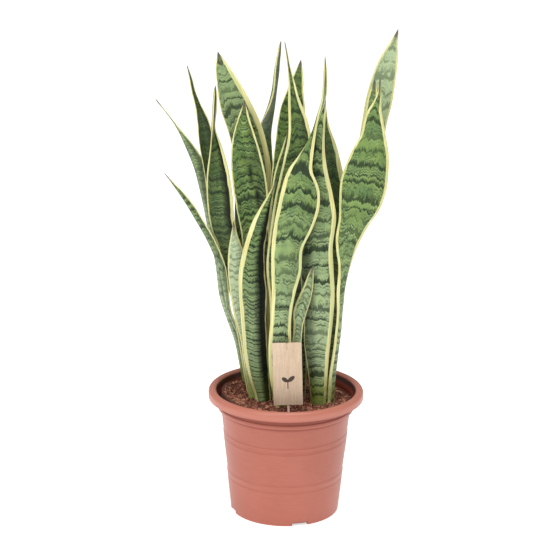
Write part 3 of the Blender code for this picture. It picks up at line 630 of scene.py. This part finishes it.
def pot_material():
    """Polypropylene, injection moulded in brick red: satin, even, with faint flow marks and dust."""
    material, tree, shader = new_material("moulded_polypropylene")
    where = add(tree, "ShaderNodeTexCoord").node.outputs["Object"]
    broad = add(tree, NOISE, {"Vector": where, "Scale": per(55), "Detail": 3.0})
    drawn = add(tree, "ShaderNodeMapping", {"Vector": where, "Scale": (per(17), per(17), per(1.1))})
    flow = add(tree, NOISE, {"Vector": drawn, "Scale": 1.0, "Detail": 3.0})
    grain = add(tree, NOISE, {"Vector": where, "Scale": per(0.7), "Detail": 2.0})
    body = add(tree, MIX, add(tree, RANGE, broad, 0.3, 0.7), linear("#A45845"), linear("#AB5E4B"),
               **COLOUR)
    skin = add(tree, MIX, add(tree, RANGE, flow, 0.45, 0.8, 0.0, 0.07), body, linear("#CFA797"),
               **COLOUR)

    lip, _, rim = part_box("pot")[1]
    neck, skirt, neck_z, shoulder_z = lip - NECK_INSET, rim - LIP_DROP, rim - NECK_DROP, rim - SHOULDER_DROP
    across = add(tree, "ShaderNodeVectorMath", where, (1.0, 1.0, 0.0), operation="MULTIPLY")
    radius = add(tree, "ShaderNodeVectorMath", across, operation="LENGTH")
    height = add(tree, "ShaderNodeSeparateXYZ", where).node.outputs[2]

    # Painted shade: the inside of the wall is darkened up to just under the lip.
    limit = add(tree, RANGE, height, skirt, skirt + 2 * MM, neck - 0.8 * MM, neck + 2.4 * MM)
    inner = add(tree, MATH, add(tree, MATH, radius, limit, operation="LESS_THAN"),
                add(tree, MATH, height, neck_z, operation="GREATER_THAN"), operation="MULTIPLY")
    rise = add(tree, MATH, grain, 5 * MM, height, operation="MULTIPLY_ADD")
    inner_painted_shade = add(tree, MATH, inner, add(tree, RANGE, rise, rim - 2 * MM, rim + 2 * MM, 0.9, 0.0),
                operation="MULTIPLY")
    skin = add(tree, MIX, inner_painted_shade, skin, linear("#2C1610"), **COLOUR)

    # Painted light: the lip is lightened from its lower edge up, less where shade is painted inside.
    lip_painted_light = add(tree, RANGE, height, skirt, skirt + 3 * MM, 0.0, 0.3)
    skin = add(tree, MIX, add(tree, MATH, lip_painted_light, inner_painted_shade, operation="SUBTRACT", use_clamp=True), skin,
               linear("#D08E7A"), **COLOUR)
    # Painted shadow: the recessed neck under the lip, where the lip's shadow falls, is darkened.
    neck_painted_shadow = add(tree, MATH, add(tree, RANGE, height, neck_z + 1.8 * MM, neck_z + 4.4 * MM),
                 add(tree, RANGE, height, skirt + 2 * MM, skirt + 5 * MM, 1.0, 0.0), operation="MULTIPLY")
    neck_painted_shadow = add(tree, MATH, neck_painted_shadow, add(tree, RANGE, radius, neck + 0.6 * MM, neck + 3 * MM, 1.0, 0.0),
                 operation="MULTIPLY")
    # Painted shade: a narrow band just under the shoulder step is darkened.
    from_shoulder_step = add(tree, MATH, add(tree, MATH, height, shoulder_z - 2 * MM, operation="SUBTRACT"),
                    operation="ABSOLUTE")
    step_painted_shade = add(tree, RANGE, from_shoulder_step, 1.2 * MM, 2.6 * MM, 0.6, 0.0)
    skin = add(tree, MIX, add(tree, MATH, neck_painted_shadow, step_painted_shade, operation="MAXIMUM"), skin, linear("#8E3D2A"),
               **COLOUR)

    sheen = add(tree, RANGE, grain, 0.2, 0.8, 0.34, 0.46)
    finish_surface(tree, shader, skin, sheen, grain, 0.12, 0.1 * MM)
    shader.inputs["IOR"].default_value = 1.49
    return material


def make_pot():
    """The pot: its section turned round, with the drain notches cut from the foot."""
    outline = pot_outline()
    mesh = bpy.data.meshes.new("pot_outline")
    mesh.from_pydata([(radius, 0, height) for radius, height in outline],
                     [(i, i + 1) for i in range(len(outline) - 1)], [])
    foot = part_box("pot")[1][0] - FOOT_INSET
    material = pot_material()
    shell = grown("nursery_pot", mesh, turned_tree(), {
        "Steps": POT_STEPS, "Notches": NOTCHES, "First notch": FIRST_NOTCH,
        "Notch size": (NOTCH_REACH + CUT_BEYOND, NOTCH_WIDTH, NOTCH_HEIGHT + CUT_BELOW),
        "Notch radius": foot + (CUT_BEYOND - NOTCH_REACH) / 2,
        "Notch height": (NOTCH_HEIGHT - CUT_BELOW) / 2, "Material": material})
    face_outwards(shell)
    return add_piece("nursery_pot", shell, material, ["pot"], 35)


# ---------------------------------------------------------------- soil and rhizome

def soil_outline():
    """The soil solid's outer radius at each height where its wall bends, from the bottom up."""
    widest = {}
    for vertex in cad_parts["soil"].data.vertices:
        height = round(vertex.co.z, 5)
        widest[height] = max(widest.get(height, 0), math.hypot(vertex.co.x, vertex.co.y))
    reach = max(widest.values())
    return [(height, radius) for height, radius in sorted(widest.items()) if radius > 0.75 * reach]


def heap_height(x, y, edge):
    """How far the soil is heaped up above its level: it is banked against the wall on the left."""
    out = max(0, math.hypot(x, y) / edge - 0.55) / 0.45
    turned_left = max(0, math.cos(math.atan2(y, x) - HEAP_TOWARDS))
    return HEAP * out ** 1.5 * turned_left ** 1.5


def soil_bed():
    """The soil as one closed body, with an uneven top."""
    outline = soil_outline()
    top, edge = outline[-1]
    points = [(0, 0, top + 0.5 * MM)]
    for ring in range(1, BED_RINGS + 1):
        radius = edge * ring / BED_RINGS
        for step in range(BED_STEPS):
            angle = math.tau * step / BED_STEPS
            x, y = radius * math.cos(angle), radius * math.sin(angle)
            uneven = sum(rise * noise.noise((x / apart, y / apart, layer))
                         for (apart, rise), layer in ((LUMPS, 0), (GRIT, 7)))
            points.append((x, y, top + heap_height(x, y, edge) + uneven - 0.6 * MM))
    for height, radius in reversed(outline[:-1]):
        for step in range(BED_STEPS):
            angle = math.tau * step / BED_STEPS
            points.append((radius * math.cos(angle), radius * math.sin(angle), min(height, top - 2 * MM)))
    rings = (len(points) - 1) // BED_STEPS
    faces = [(0, 1 + step, 1 + (step + 1) % BED_STEPS) for step in range(BED_STEPS)]
    for ring in range(rings - 1):
        start = 1 + ring * BED_STEPS
        for step in range(BED_STEPS):
            after = (step + 1) % BED_STEPS
            faces.append((start + step, start + BED_STEPS + step, start + BED_STEPS + after, start + after))
    faces.append(tuple(range(len(points) - BED_STEPS, len(points))))
    mesh = bpy.data.meshes.new("soil_bed")
    mesh.from_pydata(points, [], faces)
    face_outwards(mesh)
    return mesh


def strewn(tree, given, shape, turns, size, pick=False):
    """A shape copied to random spots of the surface, each copy turned and given a tint of its own."""
    spots = add(tree, "GeometryNodeDistributePointsOnFaces", {
        "Mesh": given["Geometry"], "Density": given["Density"], "Seed": given["Seed"]})
    least, most = turns
    turn = add(tree, RANDOM, {"Min": least, "Max": most, "Seed": given["Seed"]}, data_type="FLOAT_VECTOR")
    copies = add(tree, "GeometryNodeInstanceOnPoints", {
        "Points": spots, "Instance": shape, "Pick Instance": pick, "Rotation": turn, "Scale": size})
    tint = add(tree, RANDOM, {"Min": 0.0, "Max": 1.0, "Seed": 9}, data_type="FLOAT")
    copies = add(tree, "GeometryNodeStoreNamedAttribute", {
        "Geometry": copies, "Name": "tint", "Value": tint}, data_type="FLOAT", domain="INSTANCE")
    return close_tree(tree, copies, given["Material"])


def crumb_tree():
    """Strews small lumps over a surface: three irregular chips, each turned and sized at random."""
    tree, given = new_tree("strewn_crumbs", (
        ("Density", "NodeSocketFloat"), ("Smallest", "NodeSocketFloat"), ("Largest", "NodeSocketFloat"),
        ("Seed", "NodeSocketInt"), ("Material", "NodeSocketMaterial")))
    kinds = tree.nodes.new("GeometryNodeGeometryToInstance")
    for number, stretch in enumerate(((1.0, 0.75, 0.6), (1.4, 0.7, 0.45), (0.9, 0.9, 0.8))):
        chip = add(tree, "GeometryNodeMeshIcoSphere", 1.0, 1)
        where = add(tree, "GeometryNodeInputPosition")
        dent = add(tree, NOISE, {"Vector": where, "W": 3.0 * number, "Scale": 1.1}, noise_dimensions="4D")
        dented = add(tree, "ShaderNodeVectorMath", {
            "Vector": where, "Scale": add(tree, RANGE, dent, 0.3, 0.7, 0.55, 1.25)}, operation="SCALE")
        stretched = add(tree, "ShaderNodeVectorMath", where, stretch, operation="MULTIPLY")
        for place in (stretched, dented):
            chip = add(tree, "GeometryNodeSetPosition", {"Geometry": chip, "Position": place})
        tree.links.new(chip, kinds.inputs[0])
    chance = add(tree, RANDOM, {"Min": 0.0, "Max": 1.0, "Seed": 5}, data_type="FLOAT")
    skewed = add(tree, MATH, chance, 2.6, operation="POWER")
    size = add(tree, RANGE, skewed, 0.0, 1.0, given["Smallest"], given["Largest"])
    turns = (0.0, 0.0, 0.0), (math.tau, math.tau, math.tau)
    return strewn(tree, given, kinds.outputs[0], turns, size, pick=True)


def fibre_tree():
    """Strews short bent fibres over a surface, lying at random."""
    tree, given = new_tree("strewn_fibres", (
        ("Density", "NodeSocketFloat"), ("Length", "NodeSocketFloat"), ("Thickness", "NodeSocketFloat"),
        ("Seed", "NodeSocketInt"), ("Material", "NodeSocketMaterial")))
    strand = add(tree, "GeometryNodeCurveQuadraticBezier", 7, (-0.5, 0.0, -0.02), (0.1, 0.3, 0.22),
                 (0.5, -0.1, -0.02))
    thin = add(tree, MATH, given["Thickness"], given["Length"], operation="DIVIDE")
    profile = add(tree, "GeometryNodeCurvePrimitiveCircle", {"Resolution": 3, "Radius": thin})
    strand = add(tree, "GeometryNodeCurveToMesh", {
        "Curve": strand, "Profile Curve": profile, "Fill Caps": True})
    share = add(tree, RANDOM, {"Min": 0.4, "Max": 1.3, "Seed": 3}, data_type="FLOAT")
    size = add(tree, MATH, share, given["Length"], operation="MULTIPLY")
    return strewn(tree, given, strand, ((-0.4, -0.4, 0.0), (0.4, 0.4, math.tau)), size)


def soil_material():
    """Coir and peat, crumbled: damp reddish brown lumps, dull, each with its own tone."""
    material, tree, shader = new_material("crumbled_coir_and_peat")
    where = add(tree, "ShaderNodeTexCoord").node.outputs["Object"]
    grit = add(tree, NOISE, {"Vector": where, "Scale": per(1.1), "Detail": 4.0})
    tint = add(tree, "ShaderNodeAttribute", attribute_name="tint").node.outputs["Fac"]
    mixed = add(tree, MATH, tint, 0.75, add(tree, MATH, grit, 0.25, operation="MULTIPLY"),
                operation="MULTIPLY_ADD")
    colours = tree.nodes.new("ShaderNodeValToRGB")
    tree.links.new(mixed, colours.inputs[0])
    ramp = colours.color_ramp
    for at, code in ((0.3, "#70402F"), (0.55, "#9A5B47"), (0.8, "#BE8468")):
        ramp.elements.new(at).color = linear(code)
    ramp.elements[0].color = linear("#42221A")
    ramp.elements[-1].color = linear("#C29A7A")
    finish_surface(tree, shader, colours.outputs[0], 0.95, grit, 0.6, 0.4 * MM)
    return material


def fibre_material():
    """Coir fibre, retted and dried: pale straw to rust, dull."""
    material, tree, shader = new_material("dry_coir_fibre")
    tint = add(tree, "ShaderNodeAttribute", attribute_name="tint").node.outputs["Fac"]
    colour = add(tree, MIX, tint, linear("#8C553B"), linear("#D2AE84"), **COLOUR)
    finish_surface(tree, shader, colour, 0.8)
    return material


def rhizome_material():
    """Rhizome skin, grown: cream to ochre, matt, with ringed scars every few millimetres."""
    material, tree, shader = new_material("rhizome_skin")
    where = add(tree, "ShaderNodeTexCoord").node.outputs["Object"]
    # A wave texture's period at scale 1 is a twentieth of tau.
    rings = add(tree, "ShaderNodeTexWave", {
        "Vector": where, "Scale": per(5.2) * math.tau / 20, "Distortion": 3.0})
    colour = add(tree, MIX, rings, linear("#B8925A"), linear("#DCC79A"), **COLOUR)
    finish_surface(tree, shader, colour, 0.7, rings, 0.4, 0.4 * MM)
    return material


def strewing_ground():
    """The uneven top that the crumbs and fibres are strewn on, a little within the wall."""
    top, edge = soil_outline()[-1]
    shape = bmesh.new()
    bmesh.ops.create_grid(shape, x_segments=40, y_segments=40, size=edge)
    outside = [v for v in shape.verts if v.co.length > edge - 2 * MM]
    bmesh.ops.delete(shape, geom=outside, context="VERTS")
    for vertex in shape.verts:
        vertex.co.z = top - 0.4 * MM + heap_height(vertex.co.x, vertex.co.y, edge)
    mesh = bpy.data.meshes.new("strewing_ground")
    shape.to_mesh(mesh)
    shape.free()
    return mesh


def make_soil():
    """The soil with its crumbs and fibres, and the skin of the rhizome that is buried in it."""
    soil = soil_material()
    add_piece("soil_bed", soil_bed(), soil, ["soil"], 60)
    smallest, largest = CRUMB_SIZES
    crumbs = grown("soil_crumbs", strewing_ground(), crumb_tree(), {
        "Density": CRUMBS_PER_M2, "Smallest": smallest, "Largest": largest, "Seed": 4, "Material": soil})
    face_outwards(crumbs)
    add_piece("soil_crumbs", crumbs, soil, [], 30)
    coir = fibre_material()
    fibres = grown("soil_fibres", strewing_ground(), fibre_tree(), {
        "Density": FIBRES_PER_M2, "Length": FIBRE_LENGTH, "Thickness": FIBRE_THICKNESS, "Seed": 8,
        "Material": coir})
    face_outwards(fibres)
    add_piece("soil_fibres", fibres, coir, [], 60)
    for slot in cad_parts["rhizome"].material_slots:
        slot.link = "OBJECT"
        slot.material = rhizome_material()


# ---------------------------------------------------------------- label

def board_frame(name):
    """A flat board's lower left front corner, its directions across, back and up, and its size."""
    points = np.array([v.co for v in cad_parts[name].data.vertices])
    x, y, z = points.T
    low_left, low_right = points[np.argmin(x + z + y)], points[np.argmax(x - z - y)]
    high_left, back_left = points[np.argmin(x - z + y)], points[np.argmin(x + z - y)]
    sides = [low_right - low_left, back_left - low_left, high_left - low_left]
    size = [np.linalg.norm(side) for side in sides]
    turn = Matrix([side / length for side, length in zip(sides, size)]).transposed()
    return Matrix.Translation(Vector(low_left)) @ turn.to_4x4(), size


def plate(name, outline, depth, place, bevel):
    """A flat outline, as (across, up), given a depth backwards and softened edges."""
    shape = bmesh.new()
    front, back = [[shape.verts.new((x, y, z)) for x, z in outline] for y in (0, depth)]
    shape.faces.new(front)
    shape.faces.new(back[::-1])
    for k, corner in enumerate(front):
        shape.faces.new((corner, front[k - 1], back[k - 1], back[k]))
    bmesh.ops.recalc_face_normals(shape, faces=shape.faces)
    if bevel:
        rims = [e for e in shape.edges if e.calc_face_angle(0) > math.radians(60)
                and abs(e.verts[0].co.y - e.verts[1].co.y) < 0.01 * MM]
        bmesh.ops.bevel(shape, geom=rims, offset=bevel, segments=2, affect="EDGES")
    bmesh.ops.transform(shape, matrix=place, verts=shape.verts)
    mesh = bpy.data.meshes.new(name)
    shape.to_mesh(mesh)
    shape.free()
    return mesh


def card_outline(width, height):
    """The card's outline with rounded corners and, in the middle of its upper edge, a round-ended slot."""
    def corner(x, z, first):
        turns = np.radians(np.linspace(first, first + 90, 5))
        return [(x + CARD_CORNER * math.cos(a), z + CARD_CORNER * math.sin(a)) for a in turns]

    inset, half = CARD_CORNER, SLOT_WIDTH / 2
    slot_foot = height - SLOT_DEPTH + half
    slot = [(width / 2 + half * math.cos(a), slot_foot + half * math.sin(a))
            for a in np.radians(np.linspace(0, -180, 7))]
    return [*corner(inset, inset, 180), *corner(width - inset, inset, 270),
            *corner(width - inset, height - inset, 0), (width / 2 + half, height), *slot,
            (width / 2 - half, height), *corner(inset, height - inset, 90)]


def card_material():
    """Kraft board, pressed and cut: pale brown and matt, with a faint upright grain and dark flecks."""
    material, tree, shader = new_material("pressed_kraft_board")
    where = add(tree, "ShaderNodeTexCoord").node.outputs["Object"]
    drawn = add(tree, "ShaderNodeMapping", {"Vector": where, "Scale": (per(1.1), per(1.1), per(22))})
    grain = add(tree, NOISE, {"Vector": drawn, "Scale": 1.0, "Detail": 3.0})
    flecks = add(tree, NOISE, {"Vector": where, "Scale": per(0.9), "Detail": 1.0})
    cloud = add(tree, NOISE, {"Vector": where, "Scale": per(25), "Detail": 2.0})
    board = add(tree, MIX, add(tree, RANGE, grain, 0.3, 0.7), linear("#C4AA8F"), linear("#D8C2A9"),
                **COLOUR)
    board = add(tree, MIX, add(tree, RANGE, cloud, 0.35, 0.7, 0.0, 0.4), board, linear("#BB9F85"),
                **COLOUR)
    board = add(tree, MIX, add(tree, RANGE, flecks, 0.64, 0.72, 0.0, 0.5), board, linear("#84654A"),
                **COLOUR)
    finish_surface(tree, shader, board, 0.85, grain, 0.3, 0.1 * MM)
    return material


def stake_material():
    """Birch, split and sanded: pinkish white with a fine lengthwise grain."""
    material, tree, shader = new_material("split_birch")
    where = add(tree, "ShaderNodeTexCoord").node.outputs["Object"]
    drawn = add(tree, "ShaderNodeMapping", {"Vector": where, "Scale": (per(0.55), per(0.55), per(17))})
    grain = add(tree, NOISE, {"Vector": drawn, "Scale": 1.0, "Detail": 3.0})
    wood = add(tree, MIX, add(tree, RANGE, grain, 0.3, 0.7), linear("#D9B89C"), linear("#F0DCCB"),
               **COLOUR)
    finish_surface(tree, shader, wood, 0.65, grain, 0.3, 0.1 * MM)
    return material


def ink_material():
    """Ink, stamped on board: brown-black, matt, a little starved where the board is rough."""
    material, tree, shader = new_material("stamped_ink")
    where = add(tree, "ShaderNodeTexCoord").node.outputs["Object"]
    starved = add(tree, NOISE, {"Vector": where, "Scale": per(0.67), "Detail": 2.0})
    ink = add(tree, MIX, add(tree, RANGE, starved, 0.55, 0.75), linear("#3A2E26"), linear("#8A715A"),
              **COLOUR)
    finish_surface(tree, shader, ink, 0.75)
    return material


def sprout_shapes(size):
    """A plain sprout: a short stem and two leaves, each an outline about the stem's middle."""
    stem = [(-0.03, -0.5), (0.03, -0.5), (0.035, 0.05), (-0.035, 0.05)]
    shapes = [[(x * size, z * size) for x, z in stem]]
    for turn, length in ((math.radians(40), 0.62), (math.radians(142), 0.5)):
        along = np.linspace(0, math.pi, 9)
        rim = [(length * (1 - math.cos(a)) / 2, 0.15 * math.sin(a)) for a in along]
        rim += [(x, -z) for x, z in rim[-2:0:-1]]
        shapes.append([((x * math.cos(turn) - z * math.sin(turn)) * size,
                        (x * math.sin(turn) + z * math.cos(turn) + 0.02) * size) for x, z in rim])
    return shapes


def make_label():
    """The card with its printed sprout, and its stake."""
    place, (width, depth, height) = board_frame("label_card")
    card = plate("label_card_board", card_outline(width, height), depth, place, 0.12 * MM)
    add_piece("label_card_board", card, card_material(), ["label_card"], 40)

    ink = ink_material()
    for number, outline in enumerate(sprout_shapes(MARK_SIZE)):
        centred = [(x + width / 2, z + MARK_RISE) for x, z in outline]
        mark = plate(f"printed_sprout_{number}", centred, 2 * INK_LIFT,
                     place @ Matrix.Translation((0, -INK_LIFT, 0)), 0)
        add_piece(f"printed_sprout_{number}", mark, ink, [], 40)

    place, (width, depth, height) = board_frame("label_stake")
    tip, corner = 0.4 * MM, 0.6 * MM
    outline = [(width / 2 - tip, 0), (width / 2 + tip, 0), (width, STAKE_POINT), (width, height - corner),
               (width - corner, height), (corner, height), (0, height - corner), (0, STAKE_POINT)]
    stake = plate("label_stake_wood", outline, depth, place, 0.15 * MM)
    add_piece("label_stake_wood", stake, stake_material(), ["label_stake"], 40)


# ---------------------------------------------------------------- stage

def make_stage():
    """A camera in front and a little above, a pale floor, an even white surround and soft lamps."""
    scene = bpy.context.scene
    camera = bpy.data.cameras.new("camera")
    camera.lens = CAMERA_LENS
    camera.sensor_width = 36.0
    holder = bpy.data.objects.new("camera", camera)
    scene.collection.objects.link(holder)
    turn = Matrix.Rotation(math.pi / 2 - CAMERA_DOWN, 4, "X") @ Matrix.Rotation(CAMERA_LEAN, 4, "Z")
    holder.matrix_world = Matrix.Translation(CAMERA_PLACE) @ turn
    scene.camera = holder

    floor = bpy.data.meshes.new("floor")
    floor.from_pydata([(-6, -6, 0), (6, -6, 0), (6, 6, 0), (-6, 6, 0)], [], [(0, 1, 2, 3)])
    # Acrylic sheet lit from below, so that it stays white all over and the lamps can model the plant.
    material, tree, shader = new_material("lit_white_acrylic")
    shader.inputs["Base Color"].default_value = linear("#FAFAFA")
    shader.inputs["Roughness"].default_value = 0.9
    shader.inputs["Emission Color"].default_value = linear("#FFFFFF")
    shader.inputs["Emission Strength"].default_value = FLOOR_GLOW
    floor.materials.append(material)
    floor_piece = bpy.data.objects.new("floor", floor)
    scene.collection.objects.link(floor_piece)

    world = bpy.data.worlds.new("surround")
    world.use_nodes = True
    # Dim as a light, so that the lamps can model the plant, and plain white where it is seen itself.
    tree = world.node_tree
    tree.nodes.clear()
    dim, seen = [add(tree, "ShaderNodeBackground", {"Color": linear("#FFFFFF"), "Strength": strength})
                 for strength in (SURROUND_LIGHT, 1.0)]
    surround = add(tree, "ShaderNodeMixShader", add(tree, "ShaderNodeLightPath"), dim, seen)
    tree.links.new(surround, tree.nodes.new("ShaderNodeOutputWorld").inputs["Surface"])
    scene.world = world
    for name, place, size, power in LAMPS:
        lamp = bpy.data.lights.new(name, "AREA")
        lamp.size = size
        lamp.energy = power
        lamp_piece = bpy.data.objects.new(name, lamp)
        scene.collection.objects.link(lamp_piece)
        aim = (LAMPS_AIM - Vector(place)).to_track_quat("-Z", "Y")
        lamp_piece.matrix_world = Matrix.Translation(place) @ aim.to_matrix().to_4x4()
    scene.view_settings.view_transform = "Standard"


def main():
    leaf = leaf_material()
    for number, name in enumerate(LEAF_LOOKS):
        make_leaf(name, number + 1, leaf)
    make_pot()
    make_soil()
    make_label()
    make_stage()


main()
